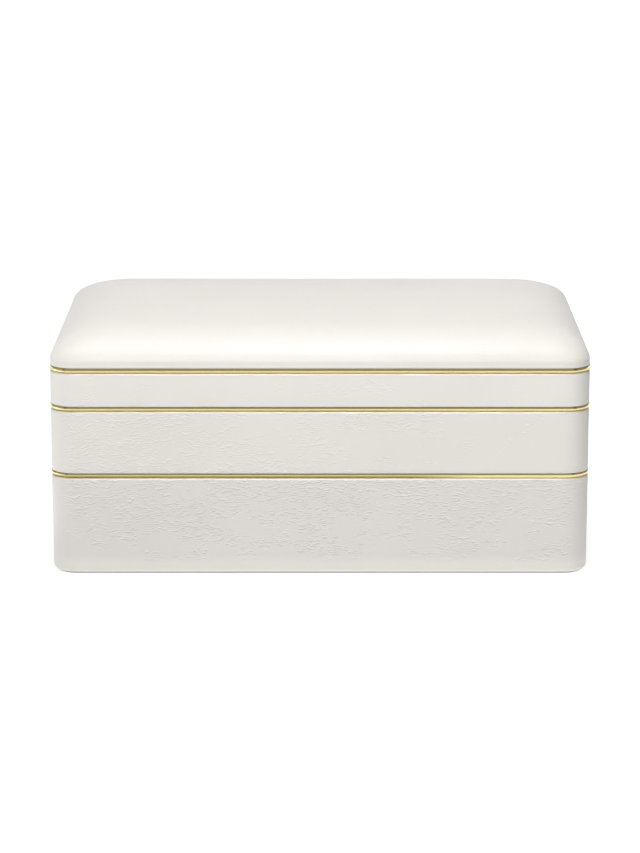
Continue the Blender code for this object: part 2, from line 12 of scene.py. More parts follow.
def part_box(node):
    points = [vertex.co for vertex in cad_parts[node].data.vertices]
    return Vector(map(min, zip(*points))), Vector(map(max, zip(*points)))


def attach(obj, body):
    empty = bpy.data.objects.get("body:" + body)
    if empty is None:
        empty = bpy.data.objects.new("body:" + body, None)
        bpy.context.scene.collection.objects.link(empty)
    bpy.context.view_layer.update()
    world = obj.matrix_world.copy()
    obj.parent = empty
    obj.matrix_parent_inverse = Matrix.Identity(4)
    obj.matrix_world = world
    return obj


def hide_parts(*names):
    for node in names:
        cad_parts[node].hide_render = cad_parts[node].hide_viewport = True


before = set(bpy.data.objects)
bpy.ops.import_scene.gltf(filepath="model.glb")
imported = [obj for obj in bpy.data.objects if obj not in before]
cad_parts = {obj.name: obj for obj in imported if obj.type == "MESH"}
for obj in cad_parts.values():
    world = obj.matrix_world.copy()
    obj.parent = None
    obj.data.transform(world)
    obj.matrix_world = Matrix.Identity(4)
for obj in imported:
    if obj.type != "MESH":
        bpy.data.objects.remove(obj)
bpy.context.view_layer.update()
MM = 0.001

# ---------------------------------------------------------------- sizes repeated from the frame
HALF_W, HALF_D, CORNER = 140.0 * MM, 91.0 * MM, 12.8 * MM
TRIM_Z = {"bottom_tray": 52.8 * MM, "middle_tray": 88.2 * MM, "top_tray": 108.4 * MM}
LOW_Z = {"bottom_tray": 0.3 * MM, "middle_tray": 54.3 * MM, "top_tray": 89.7 * MM}
FLOOR_Z = {"bottom_tray": 5.5 * MM, "middle_tray": 59.1 * MM, "top_tray": 93.9 * MM}
EDGE = {"bottom_tray": 3.0 * MM, "middle_tray": 0.5 * MM, "top_tray": 0.5 * MM}
FOLD = {"bottom_tray": 15.0 * MM, "middle_tray": 7.6 * MM, "top_tray": 7.6 * MM}
TRIM_TOP = 0.94 * MM
# the bead's outer face in mm, proud of the wall and up from its middle: fullest low down on the top tray,
# about the middle on the middle tray and higher up on the bottom tray
ROUND = [
    (-0.74, -1.56), (-0.66, -1.53), (-0.50, -1.37), (-0.32, -1.17), (-0.14, -0.97), (0.02, -0.78), (0.15, -0.62),
    (0.25, -0.48), (0.32, -0.35), (0.355, -0.24), (0.37, -0.12), (0.37, -0.02), (0.345, 0.14), (0.29, 0.38),
    (0.22, 0.64), (0.155, 0.86), (0.13, 0.93),
]
BEAD = {
    "top_tray": [
        (-0.74, -1.56), (-0.62, -1.545), (-0.46, -1.44), (-0.28, -1.27), (-0.10, -1.10), (0.07, -0.96), (0.20, -0.84),
        (0.30, -0.72), (0.355, -0.58), (0.37, -0.42), (0.365, -0.26), (0.345, -0.06), (0.305, 0.16), (0.255, 0.40),
        (0.20, 0.66), (0.155, 0.86), (0.13, 0.93),
    ],
    "middle_tray": ROUND,
    "bottom_tray": [(proud, up + 0.33 * max(0.0, 1.0 - abs(up + 0.1) / 0.9)) for proud, up in ROUND],
}
# mm: bands of the bead painted in darker gold, painted shade: half shade (1), shade (2) and the crevice's shadow (3)
PAINTED_SHADE_BANDS = {"middle_tray": ((-0.90, -0.30, 1),), "bottom_tray": ((-0.15, 0.20, 1), (-0.67, -0.15, 2), (-1.22, -0.67, 3))}
LID_Z = 109.9 * MM
SHOULDER_Z = LID_Z + 2.5 * MM
SEAM_X = {"bottom_tray": 6.0 * MM, "middle_tray": -9.0 * MM, "top_tray": 4.0 * MM}
HINGE_X, HINGE_Y, HINGE_Z = 80.0 * MM, 92.8 * MM, 109.75 * MM


# ---------------------------------------------------------------- materials
class Nodes:
    """Short names for building a node tree."""

    def __init__(self, material):
        self.tree = material.node_tree
        self.shader = self.tree.nodes["Principled BSDF"]

    def add(self, kind, **settings):
        node = self.tree.nodes.new("ShaderNode" + kind)
        for key, value in settings.items():
            if key in node.inputs:
                node.inputs[key].default_value = value
            else:
                setattr(node, key, value)
        return node

    def link(self, a, b):
        self.tree.links.new(a, b)

    def coords(self, scale=(1, 1, 1), location=(0, 0, 0), rotation=(0, 0, 0), push=None):
        """Object coordinates; `push` is a height that moves them up before they are scaled."""
        source = self.add("TexCoord").outputs["Object"]
        if push is not None:
            up = self.add("CombineXYZ")
            self.link(push, up.inputs["Z"])
            moved = self.add("VectorMath")
            moved.operation = "ADD"
            self.link(source, moved.inputs[0])
            self.link(up.outputs["Vector"], moved.inputs[1])
            source = moved.outputs["Vector"]
        mapping = self.add("Mapping")
        mapping.inputs["Scale"].default_value = scale
        mapping.inputs["Location"].default_value = location
        mapping.inputs["Rotation"].default_value = rotation
        self.link(source, mapping.inputs["Vector"])
        return mapping.outputs["Vector"]

    def noise(self, vector, scale, detail=2.0, rough=0.5, distortion=0.0):
        node = self.add("TexNoise")
        node.inputs["Scale"].default_value = scale
        node.inputs["Detail"].default_value = detail
        node.inputs["Roughness"].default_value = rough
        node.inputs["Distortion"].default_value = distortion
        self.link(vector, node.inputs["Vector"])
        return node.outputs["Fac"]

    def voronoi(self, vector, scale, feature="F1", randomness=1.0):
        node = self.add("TexVoronoi")
        node.feature = feature
        node.inputs["Scale"].default_value = scale
        node.inputs["Randomness"].default_value = randomness
        self.link(vector, node.inputs["Vector"])
        return node.outputs["Distance"]

    def ramp(self, value, stops, ease=False):
        node = self.add("ValToRGB")
        ramp = node.color_ramp
        if ease:
            ramp.interpolation = "EASE"
        while len(ramp.elements) < len(stops):
            ramp.elements.new(0.5)
        for element, (place, colour) in zip(ramp.elements, stops):
            element.position = place
            element.color = (colour, colour, colour, 1) if isinstance(colour, (int, float)) else (*colour, 1)
        self.link(value, node.inputs["Fac"])
        return node.outputs["Color"]

    def math(self, operation, a, b=None, c=None, clamp=False):
        node = self.add("Math")
        node.operation = operation
        node.use_clamp = clamp
        for socket, value in zip(node.inputs, (a, b, c)):
            if value is None:
                continue
            if isinstance(value, (int, float)):
                socket.default_value = value
            else:
                self.link(value, socket)
        return node.outputs["Value"]

    def mix(self, factor, a, b, blend="MIX"):
        node = self.add("Mix")
        node.data_type = "RGBA"
        node.blend_type = blend
        for name, value in (("Factor", factor), ("A", a), ("B", b)):
            socket = [s for s in node.inputs if s.name == name and s.enabled][0]
            if isinstance(value, (int, float)):
                socket.default_value = value
            elif isinstance(value, tuple):
                socket.default_value = (*value, 1)
            else:
                self.link(value, socket)
        return [s for s in node.outputs if s.enabled][0]

    def bump(self, height, strength, distance, normal=None):
        node = self.add("Bump")
        node.inputs["Strength"].default_value = strength
        node.inputs["Distance"].default_value = distance
        self.link(height, node.inputs["Height"])
        if normal is not None:
            self.link(normal, node.inputs["Normal"])
        return node.outputs["Normal"]

    def set(self, **values):
        for key, value in values.items():
            socket = self.shader.inputs[key.replace("_", " ")]
            if isinstance(value, (int, float)):
                socket.default_value = value
            elif isinstance(value, tuple):
                socket.default_value = (*value, 1.0) if socket.type == "RGBA" else value
            else:
                self.link(value, socket)


def new_material(name):
    material = bpy.data.materials.new(name)
    material.use_nodes = True
    return material, Nodes(material)


def leather(name, colour, crease=1.0, grain=1.0, rough=0.47, seed=0.0, spread=0.0, foot=0.0, gather=0.0, thin=(0.0, 0.0)):
    """Coated faux leather: fine pebble, and short creases that lie lengthways in drifts."""
    material, n = new_material(name)
    base = n.coords(location=(seed, seed * 1.7, seed * 0.6))

    # drifts: where the creases gather and where the skin stays smooth
    height_up = n.add("SeparateXYZ")
    n.link(n.coords(), height_up.inputs["Vector"])
    drift = n.noise(n.coords(scale=(0.6, 0.6, 1.0), location=(seed * 2, 0, 1)), 98.0, 3.0, 0.62)
    drift = n.math("ADD", drift, n.math("MULTIPLY", height_up.outputs["X"], -gather))
    drift = n.math("ADD", drift, n.math("MULTIPLY_ADD", height_up.outputs["Z"], thin[0], -thin[0] * thin[1]))
    drift = n.ramp(drift, [(0.45 - spread, 0.0), (0.56 - spread, 1.0)], ease=True)
    above_foot = n.math("MULTIPLY_ADD", height_up.outputs["Z"], 1.0 / (5 * MM), -foot / (5 * MM), clamp=True)
    drift = n.math("MULTIPLY", drift, above_foot)
    # the skin is pulled tight round the corners, and its creases with it
    along = n.math("MULTIPLY_ADD", n.math("ABSOLUTE", height_up.outputs["X"]), 1.0 / (6 * MM), -0.1285 / (6 * MM), clamp=True)
    across = n.math("MULTIPLY_ADD", n.math("ABSOLUTE", height_up.outputs["Y"]), 1.0 / (4 * MM), -0.0785 / (4 * MM), clamp=True)
    taut = n.math("MULTIPLY", along, across)
    drift = n.math("MULTIPLY", drift, n.math("MULTIPLY_ADD", taut, -0.9, 1.0))

    # short creases, stretched along the tray and bent a little this way and that
    bend = n.math("MULTIPLY_ADD", n.noise(base, 60.0, 2.0, 0.5), 0.007, -0.0035)
    patch = n.ramp(n.noise(n.coords(location=(0, seed, 5)), 160.0, 1.0), [(0.48, 0.0), (0.56, 1.0)])

    def relief(up):
        """Height of the creases, read a little higher or lower on the skin; and the sharp lines alone."""
        push = n.math("ADD", bend, up)
        fleck = n.noise(n.coords(scale=(0.24, 0.24, 1.0), location=(seed, 3.1, seed), push=push), 1480.0, 2.0, 0.5)
        fleck = n.ramp(fleck, [(0.54, 0.0), (0.63, 1.0)], ease=True)
        line = n.noise(n.coords(scale=(0.24, 0.24, 1.0), location=(seed + 4, 0, 2), push=push), 850.0, 2.0, 0.5, 0.5)
        line = n.ramp(n.math("ABSOLUTE", n.math("SUBTRACT", line, 0.5)), [(0.0, 1.0), (0.03, 0.0)], ease=True)
        line = n.math("MULTIPLY", line, patch)
        return n.math("MULTIPLY", n.math("SUBTRACT", fleck, n.math("MULTIPLY", line, 0.40)), drift), line

    creases, line = relief(0.0)
    slope = n.math("SUBTRACT", relief(-0.00021)[0], relief(0.00021)[0])

    pebble = n.voronoi(base, 1500.0, "SMOOTH_F1")
    fine = n.noise(base, 4200.0, 2.0, 0.6)
    height = n.math(
        "ADD",
        n.math("MULTIPLY", creases, crease),
        n.math("ADD", n.math("MULTIPLY", pebble, 0.02 * grain), n.math("MULTIPLY", fine, 0.012 * grain)),
    )
    normal = n.bump(height, 1.0, 0.00011)

    # colour: slow cloudiness; painted highlight on the upper side of each crease and painted shade on its lower side,
    # as if lit from above
    cloud = n.noise(base, 9.0, 3.0, 0.5)
    lighter = tuple(min(1.0, c * 1.02) for c in colour)
    darker = tuple(c * 0.975 for c in colour)
    tone = n.mix(n.ramp(cloud, [(0.3, 0.0), (0.7, 1.0)]), darker, lighter)
    # painted light: below the foot height the leather is painted a little lighter, standing in for light thrown up by
    # the floor
    tone = n.mix(above_foot, tuple(min(1.0, c * 1.075) for c in colour), tone)
    # painted highlight above each crease and painted shade below it, from the crease height read a little higher and a
    # little lower
    painted_crease_highlight = n.math("MULTIPLY", slope, 1.35 * crease, clamp=True)
    tone = n.mix(painted_crease_highlight, tone, tuple(min(1.0, c * 1.19) for c in colour))
    shaded = n.math("MULTIPLY", slope, -0.95 * crease, clamp=True)
    tone = n.mix(shaded, tone, tuple(c * 0.80 for c in colour))
    roughness = n.math(
        "ADD", rough, n.math("MULTIPLY", n.math("SUBTRACT", n.noise(base, 300.0, 3.0), 0.5), 0.16)
    )
    n.set(Base_Color=tone, Roughness=roughness, Normal=normal)
    n.set(Specular_IOR_Level=0.42, Coat_Weight=0.12, Coat_Roughness=0.34, Sheen_Weight=0.05, Sheen_Roughness=0.5)
    return material


def sealed_edge_with_painted_reflex(name, colour=(1.0, 0.965, 0.81)):
    """The sealed top edge of the leather: glossier than its face, and painted paler and yellower, a painted highlight
    with the painted reflection of the gold bead above it.
    """
    material, n = new_material(name)
    base = n.coords()
    blotch = n.noise(base, 420.0, 3.0, 0.6)
    tone = n.mix(blotch, tuple(c * 0.95 for c in colour), colour)
    n.set(Base_Color=tone, Roughness=n.math("MULTIPLY_ADD", blotch, 0.12, 0.30))
    n.set(Specular_IOR_Level=0.5, Coat_Weight=0.9, Coat_Roughness=0.18)
    n.set(Normal=n.bump(n.noise(base, 1500.0, 2.0), 0.2, 0.0001))
    return material


def gold(name, colour=(0.79, 0.68, 0.355), rough=0.09, wear=0.4, painted_shade_ends_at=None):
    """Pale gold plating: polished, with a faint drawn grain and small spots of wear; where a darker colour is given as
    painted shade, it fades back to the full gold towards the right end.
    """
    material, n = new_material(name)
    base = n.coords()
    drawn = n.noise(n.coords(scale=(0.08, 0.08, 6.0)), 900.0, 2.0, 0.6)
    spots = n.noise(base, 210.0, 3.0, 0.6)
    tone = n.mix(
        n.math("MULTIPLY", n.ramp(spots, [(0.45, 0.0), (0.8, 1.0)]), 0.35 * wear),
        colour,
        (colour[0] * 0.86, colour[1] * 0.80, colour[2] * 0.66),
    )
    if painted_shade_ends_at is not None:
        # the painted shade fades back to the full gold colour towards the right end
        along = n.add("SeparateXYZ")
        n.link(n.coords(), along.inputs["Vector"])
        shade_fades_out = n.math("MULTIPLY_ADD", along.outputs["X"], 1.0 / 0.035, -painted_shade_ends_at / 0.035, clamp=True)
        tone = n.mix(shade_fades_out, tone, (0.79, 0.68, 0.355))
    roughness = n.math("ADD", rough, n.math("MULTIPLY", drawn, 0.05))
    n.set(Base_Color=tone, Roughness=roughness, Metallic=1.0)
    n.set(Normal=n.bump(n.noise(n.coords(scale=(0.5, 0.5, 1.0)), 160.0, 2.0), 0.03, 0.0002))
    return material


def velvet(name, colour=(0.56, 0.50, 0.42), seed=0.0):
    """Short-pile velvet: fine fibres, nap that turns light and dark in soft patches, bright sheen."""
    material, n = new_material(name)
    base = n.coords(location=(seed, seed, 0))
    nap = n.noise(n.coords(scale=(1.0, 0.45, 1.0), location=(seed * 3, 0, 0)), 38.0, 4.0, 0.55, 0.8)
    fibre = n.noise(base, 5200.0, 2.0, 0.7)
    tuft = n.noise(n.coords(scale=(1.0, 0.4, 1.0)), 1600.0, 3.0, 0.6)
    dark = tuple(c * 0.80 for c in colour)
    light = tuple(min(1.0, c * 1.15) for c in colour)
    tone = n.mix(n.ramp(nap, [(0.38, 0.0), (0.52, 0.55), (0.64, 1.0)]), dark, light)
    mottle = n.noise(n.coords(location=(seed, 7.0, 0)), 420.0, 3.0, 0.65)
    tone = n.mix(n.ramp(mottle, [(0.40, 0.34), (0.62, 0.0)]), tone, tuple(c * 0.70 for c in colour))
    tone = n.mix(n.ramp(tuft, [(0.42, 0.30), (0.60, 0.0)]), tone, tuple(c * 0.62 for c in colour))
    tone = n.mix(n.ramp(tuft, [(0.55, 0.0), (0.70, 0.30)]), tone, tuple(min(1.0, c * 1.40) for c in colour))
    tone = n.mix(n.math("MULTIPLY", fibre, 0.35), tone, tuple(c * 0.66 for c in colour))
    n.set(Base_Color=tone, Roughness=0.92, Specular_IOR_Level=0.18)
    n.set(Sheen_Weight=0.75, Sheen_Roughness=0.38, Sheen_Tint=(1.0, 0.96, 0.88))
    rise = n.math("ADD", n.math("MULTIPLY", fibre, 0.6), n.math("MULTIPLY", tuft, 0.9))
    n.set(Normal=n.bump(rise, 0.8, 0.00035))
    return material


def felt(name, colour=(0.50, 0.46, 0.40)):
    material, n = new_material(name)
    base = n.coords()
    fibres = n.noise(base, 2100.0, 5.0, 0.7, 2.5)
    clumps = n.noise(base, 300.0, 4.0, 0.6, 1.0)
    tone = n.mix(fibres, tuple(c * 0.78 for c in colour), tuple(min(1, c * 1.2) for c in colour))
    tone = n.mix(n.math("MULTIPLY", clumps, 0.4), tone, tuple(c * 0.85 for c in colour))
    n.set(Base_Color=tone, Roughness=0.97, Specular_IOR_Level=0.1, Sheen_Weight=0.3, Sheen_Roughness=0.6)
    n.set(Normal=n.bump(n.math("ADD", fibres, n.math("MULTIPLY", clumps, 0.5)), 0.7, 0.0005))
    return material


def fibreboard(name, colour=(0.42, 0.31, 0.20)):
    material, n = new_material(name)
    base = n.coords()
    chips = n.noise(base, 900.0, 6.0, 0.7, 1.0)
    layers = n.noise(n.coords(scale=(0.2, 0.2, 3.0)), 500.0, 3.0, 0.6)
    tone = n.mix(chips, tuple(c * 0.75 for c in colour), tuple(min(1, c * 1.25) for c in colour))
    tone = n.mix(n.math("MULTIPLY", layers, 0.35), tone, tuple(c * 0.7 for c in colour))
    n.set(Base_Color=tone, Roughness=0.86, Normal=n.bump(chips, 0.4, 0.0003))
    return material


def sponge(name, colour=(0.84, 0.81, 0.72)):
    material, n = new_material(name)
    base = n.coords()
    cells = n.voronoi(base, 1100.0, "F1")
    tone = n.mix(n.ramp(cells, [(0.1, 0.0), (0.5, 1.0)]), tuple(c * 0.7 for c in colour), colour)
    n.set(Base_Color=tone, Roughness=0.95, Normal=n.bump(cells, 0.8, 0.0006))
    n.set(Subsurface_Weight=0.1, Subsurface_Radius=(0.002, 0.0018, 0.0012))
    return material


def looking_glass(name):
    """Silvered glass with the slightest unevenness and a faint haze."""
    material, n = new_material(name)
    base = n.coords()
    haze = n.noise(base, 40.0, 4.0, 0.6)
    n.set(
        Base_Color=n.mix(haze, (0.90, 0.915, 0.91), (0.94, 0.95, 0.95)),
        Metallic=1.0,
        Roughness=n.math("MULTIPLY", haze, 0.035),
        Normal=n.bump(n.noise(base, 6.0, 1.0), 0.02, 0.001),
    )
    return material


# one leather on all three trays, painted darker on the lower trays: painted shade for the light falling off towards the
# floor
leather_of = {
    "bottom_tray": leather("leather_bottom", (0.770, 0.742, 0.703), crease=1.0, spread=0.045, foot=5.5 * MM, grain=0.9, seed=1.3, thin=(3.4, 0.028)),
    "middle_tray": leather("leather_middle", (0.822, 0.792, 0.744), crease=0.60, grain=0.8, seed=4.1, foot=-1.0, gather=1.35, thin=(2.4, 0.068)),
    "top_tray": leather("leather_top", (0.842, 0.816, 0.770), crease=0.32, spread=-0.09, grain=0.7, seed=7.9, foot=-1.0, gather=0.4),
}
leather_edge = sealed_edge_with_painted_reflex("leather_edge")
leather_lid = leather("leather_lid", (0.845, 0.813, 0.766), crease=0.07, grain=0.45, rough=0.44, seed=11.0, foot=-1.0)
gold_trim = gold("gold_trim")
gold_painted_half_shade = gold("gold_painted_half_shade", colour=(0.60, 0.51, 0.255), rough=0.12, wear=0.8, painted_shade_ends_at=0.048)
gold_painted_shade = gold("gold_painted_shade", colour=(0.42, 0.35, 0.165), rough=0.18, wear=1.0, painted_shade_ends_at=0.048)
gold_painted_crevice_shadow = gold("gold_painted_crevice_shadow", colour=(0.22, 0.18, 0.075), rough=0.24, wear=1.0, painted_shade_ends_at=0.048)
hinge_gold = gold("hinge_gold", colour=(0.76, 0.62, 0.34), rough=0.24, wear=0.8)
velvet_lining = velvet("velvet_lining")
velvet_rolls = velvet("velvet_rolls", colour=(0.60, 0.54, 0.46), seed=5.0)
felt_pad = felt("felt_pad")
board_raw = fibreboard("board_raw")
foam_raw = sponge("foam_raw")
mirror_glass = looking_glass("mirror_glass")


# ---------------------------------------------------------------- mesh helpers
def ring(inset, z, radius=None, corner=10, span=4.0 * MM, reach=None):
    """Points of the rounded rectangle at an inset, the same number at every inset."""
    if radius is None:
        radius = max(CORNER - inset, 1.6 * MM)
    half_x, half_y = HALF_W - inset, HALF_D - inset
    radius = min(radius, half_y * 0.97)
    along_x = max(2, round(2 * (HALF_W - CORNER) / span))
    along_y = max(2, round(2 * (HALF_D - CORNER) / span))
    points = []
    corners = ((1, -1, -90), (1, 1, 0), (-1, 1, 90), (-1, -1, 180))
    arcs = []
    for sx, sy, start in corners:
        arc = []
        for i in range(corner + 1):
            a = math.radians(start + 90.0 * i / corner)
            arc.append(
                (sx * (half_x - radius) + radius * math.cos(a), sy * (half_y - radius) + radius * math.sin(a))
            )
        arcs.append(arc)
    for k, arc in enumerate(arcs):
        points += arc
        end, begin = arc[-1], arcs[(k + 1) % 4][0]
        count = along_y if k % 2 == 0 else along_x
        for i in range(1, count):
            t = i / count
            points.append((end[0] + (begin[0] - end[0]) * t, end[1] + (begin[1] - end[1]) * t))
    return [(x, y, z) for x, y in points]


def lathe_round(name, section, closed=True, cap=False, radius=None, corner=10, span=4.0 * MM, warp=None):
    """Carries a section of (inset, z) round the case and returns the mesh object, smooth shaded."""
    rows = [ring(p[0], p[1], p[2] if len(p) > 2 else radius, corner, span) for p in section]
    count = len(rows[0])
    verts = [Vector(v) for row in rows for v in row]
    if warp:
        verts = [warp(v) for v in verts]
    faces = []
    last = len(rows) if closed else len(rows) - 1
    for i in range(last):
        a, b = i * count, ((i + 1) % len(rows)) * count
        for j in range(count):
            k = (j + 1) % count
            faces.append((a + j, a + k, b + k, b + j))
    if cap:
        start = (len(rows) - 1) * count
        faces.append(tuple(start + j for j in range(count)))
    return mesh_object(name, verts, faces)


def mesh_object(name, verts, faces, sharp=35.0):
    mesh = bpy.data.meshes.new(name)
    mesh.from_pydata([tuple(v) for v in verts], [], faces)
    bm = bmesh.new()
    bm.from_mesh(mesh)
    bmesh.ops.recalc_face_normals(bm, faces=bm.faces)
    wide = [f for f in bm.faces if len(f.verts) > 4]
    if wide:
        bmesh.ops.triangulate(bm, faces=wide, ngon_method="BEAUTY")
    bm.to_mesh(mesh)
    bm.free()
    obj = bpy.data.objects.new(name, mesh)
    bpy.context.scene.collection.objects.link(obj)
    mesh.shade_smooth()
    mesh.set_sharp_from_angle(angle=math.radians(sharp))
    return obj


def arc(cx, cz, r, start, end, steps):
    """Part of a circle in a section, 0 pointing inwards and 90 up."""
    return [
        (
            cx + r * math.cos(math.radians(start + (end - start) * i / steps)),
            cz + r * math.sin(math.radians(start + (end - start) * i / steps)),
        )
        for i in range(steps + 1)
    ]


def place(obj, body, material, slot, *nodes):
    obj.data.materials.clear()
    obj.data.materials.append(material)
    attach(obj, body)
    if nodes:
        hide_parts(*nodes)
    return obj


def paint(node, material):
    """A CAD node that keeps its shape gets a better material."""
    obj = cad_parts[node]
    for i in range(max(1, len(obj.material_slots))):
        if not obj.material_slots:
            obj.data.materials.append(material)
        obj.material_slots[i].material = material


def wobble(amount, size, seed):
    """A slow unevenness, pushed outwards from the case's middle."""

    def move(v):
        d = noise.noise(Vector((v.x / size + seed, v.y / size, v.z / size)))
        return v + Vector((v.x, v.y, 0)).normalized() * (d * amount)

    return move


# ---------------------------------------------------------------- trays
def cell_block(name, low, high, body, material, slot, node, top_round=1.5 * MM, side_round=0.7 * MM):
    """A velvet-covered board: softly rounded top and ends."""
    low, high = Vector(low), Vector(high)
    size = high - low
    long_axis = 0 if size.x > size.y else 1
    steps = max(4, round(size[long_axis] / (5 * MM)))
    half = size[1 - long_axis] / 2
    section = []
    r = min(top_round, half * 0.98)
    for i in range(7):
        a = math.pi / 2 * i / 6
        section.append((half - r + r * math.cos(a), size.z - r + r * math.sin(a)))
    right = [(half, 0.0), (half * 1.0, size.z * 0.3), (half, size.z * 0.7)] + section
    left = [(-u, v) for u, v in reversed(right)]
    outline_points = right + left
    verts, faces = [], []
    count = len(outline_points)
    for i in range(steps + 1):
        t = i / steps
        pull = 1.0
        edge = min(t, 1 - t) * size[long_axis]
        if edge < side_round:
            pull = 1.0 - 0.12 * (1 - edge / side_round) ** 2
        for u, v in outline_points:
            across = u * pull
            up = v if v < size.z * 0.75 else v - (1 - pull) * 1.2 * MM
            along = t * size[long_axis]
            p = [0, 0, low.z + up]
            p[long_axis] = low[long_axis] + along
            p[1 - long_axis] = (low[1 - long_axis] + high[1 - long_axis]) / 2 + across
            verts.append(p)
    for i in range(steps):
        for j in range(count):
            k = (j + 1) % count
            faces.append((i * count + j, i * count + k, (i + 1) * count + k, (i + 1) * count + j))
    faces.append(tuple(range(count)))
    faces.append(tuple(steps * count + j for j in range(count)))
    obj = mesh_object(name, verts, faces, 50)
    return place(obj, body, material, slot, node)


def tray(body):
    low, trim_z, floor = LOW_Z[body], TRIM_Z[body], FLOOR_Z[body]
    edge, fold = EDGE[body], FOLD[body]
    skin = 0.8 * MM
    if body != "bottom_tray":
        low -= 0.50 * MM

    # leather wrap: rolled in under the trim where it stands out a hair, round the lower edge, folded under
    outer = [
        (inset * MM, trim_z - down * MM)
        for inset, down in (
            (0.8, 1.58), (0.50, 1.58), (0.38, 1.62), (0.25, 1.76), (0.10, 1.97), (-0.03, 2.17), (-0.09, 2.32), (-0.13, 2.55),
        )
    ]
    start = trim_z - 2.8 * MM
    walls = max(5, round((start - low - edge) / (3 * MM)))
    for i in range(walls):
        down = (start - low - edge) * i / walls
        outer.append((-0.15 * MM * max(0.0, 1.0 - down / (9 * MM)) ** 2, start - down))
    outer += arc(edge, low + edge, edge, 180, 270, 8)
    for share in (0.33, 0.66, 0.97):
        outer.append((edge + (fold - edge) * share, low))
    outer += [(fold, low + 0.15 * MM), (fold, low + skin)]
    inner_r = max(edge - skin, 0.6 * MM)
    inner = arc(skin + inner_r, low + skin + inner_r, inner_r, 270, 180, 4)
    wrap = lathe_round(
        body + "_leather_wrap", outer + inner, span=3.0 * MM, corner=12, warp=wobble(0.05 * MM, 0.035, len(body))
    )
    seam_x = SEAM_X[body]
    cut_boxes(
        wrap,
        [
            ((seam_x - 0.16 * MM, HALF_D - 0.32 * MM, low + edge * 0.6), (seam_x + 0.16 * MM, HALF_D + 1 * MM, trim_z)),
            ((seam_x - 0.16 * MM, HALF_D - fold - 1 * MM, low - 1 * MM), (seam_x + 0.16 * MM, HALF_D + 1 * MM, low + 0.32 * MM)),
        ],
    )
    place(wrap, body, leather_of[body], "leather", body + "_leather")
    # painted highlight: the up-facing strip just under the bead gets the paler, yellower edge colour, the painted
    # reflection of the gold
    wrap.data.materials.append(leather_edge)
    for face in wrap.data.polygons:
        if trim_z - 2.3 * MM < face.center.z < trim_z - 1.5 * MM and face.normal.z > 0.3:
            face.material_index = 1

    # gold trim: a slim bead, crisp at its top edge, rounded below, and a flat lip on the wall's edge
    high = trim_z + TRIM_TOP
    bead = [(0.95 * MM, trim_z - 1.5 * MM)]
    bead += [(-proud * MM, trim_z + up * MM) for proud, up in BEAD[body]]
    bead += [
        (2.9 * MM, high), (3.12 * MM, high - 0.08 * MM), (3.2 * MM, high - 0.3 * MM), (3.2 * MM, high - 1.0 * MM),
        (0.95 * MM, high - 1.0 * MM),
    ]
    trim = lathe_round(body + "_trim_bead", bead, span=8.0 * MM, corner=16)
    if body == "top_tray":
        # the butt joint sits on the left front corner, and the bead is cut flush behind the hinges
        turn = math.radians(-18.0)
        centre = Vector((-(HALF_W - CORNER) + math.sin(turn) * (CORNER + 0.3 * MM), -(HALF_D - CORNER) - math.cos(turn) * (CORNER + 0.3 * MM), trim_z))
        half = Vector((0.19 * MM, 0.65 * MM, 2.2 * MM))
        joints = [(centre - half, centre + half, turn)]
        joints += [
            ((s * HINGE_X - 12.5 * MM, HALF_D, trim_z - 3 * MM), (s * HINGE_X + 12.5 * MM, HALF_D + 3 * MM, trim_z + 3 * MM))
            for s in (-1, 1)
        ]
    else:
        joints = [((seam_x + 14.87 * MM, HALF_D - 0.1 * MM, trim_z - 3 * MM), (seam_x + 15.13 * MM, HALF_D + 2 * MM, trim_z + 3 * MM))]
    cut_boxes(trim, joints)
    place(trim, body, gold_trim, "gold_trim", body + "_trim")
    if body in PAINTED_SHADE_BANDS:
        # painted shade: the bead is painted darker gold on its middle and lower side, darkest at the crevice under it,
        # standing in for the shade that it reflects
        for material in (gold_painted_half_shade, gold_painted_shade, gold_painted_crevice_shadow):
            trim.data.materials.append(material)
        for face in trim.data.polygons:
            for down, up, index in PAINTED_SHADE_BANDS[body]:
                if trim_z + down * MM < face.center.z < trim_z + up * MM and face.normal.z < 0.3:
                    face.material_index = index

    # velvet lining: rolled over the wall's top, soft where wall meets floor
    lip = trim_z + TRIM_TOP - 0.15 * MM
    section = [(3.5 * MM, lip - skin), (3.5 * MM, lip - 0.25 * MM), (3.75 * MM, lip)]
    section += [(4.6 * MM, lip + 0.06 * MM), (5.4 * MM, lip + 0.02 * MM)]
    section += arc(6.0 * MM, lip - 1.0 * MM, 1.0 * MM, 90, 0, 6)
    rows = max(4, round((lip - floor) / (5 * MM)))
    for i in range(1, rows):
        section.append((7.0 * MM, lip - 1.0 * MM - (lip - 1.0 * MM - floor - 1.2 * MM) * i / rows))
    section += arc(8.2 * MM, floor + 1.2 * MM, 1.2 * MM, 180, 270, 5)
    section += [(12 * MM, floor, 3 * MM), (30 * MM, floor, 3 * MM), (60 * MM, floor, 3 * MM)]
    under = floor - skin
    section += [(60 * MM, under, 3 * MM), (9.0 * MM, under), (6.2 * MM, under), (6.2 * MM, lip - skin)]
    lining_rows = [(p[0], p[1], p[2] if len(p) > 2 else max(CORNER - p[0], 2.6 * MM)) for p in section]
    top_rows = lining_rows[: len(lining_rows) - 4]
    lining = closed_pan(body + "_velvet_lining", top_rows, lining_rows[-4:])
    place(lining, body, velvet_lining, "velvet", body + "_lining")


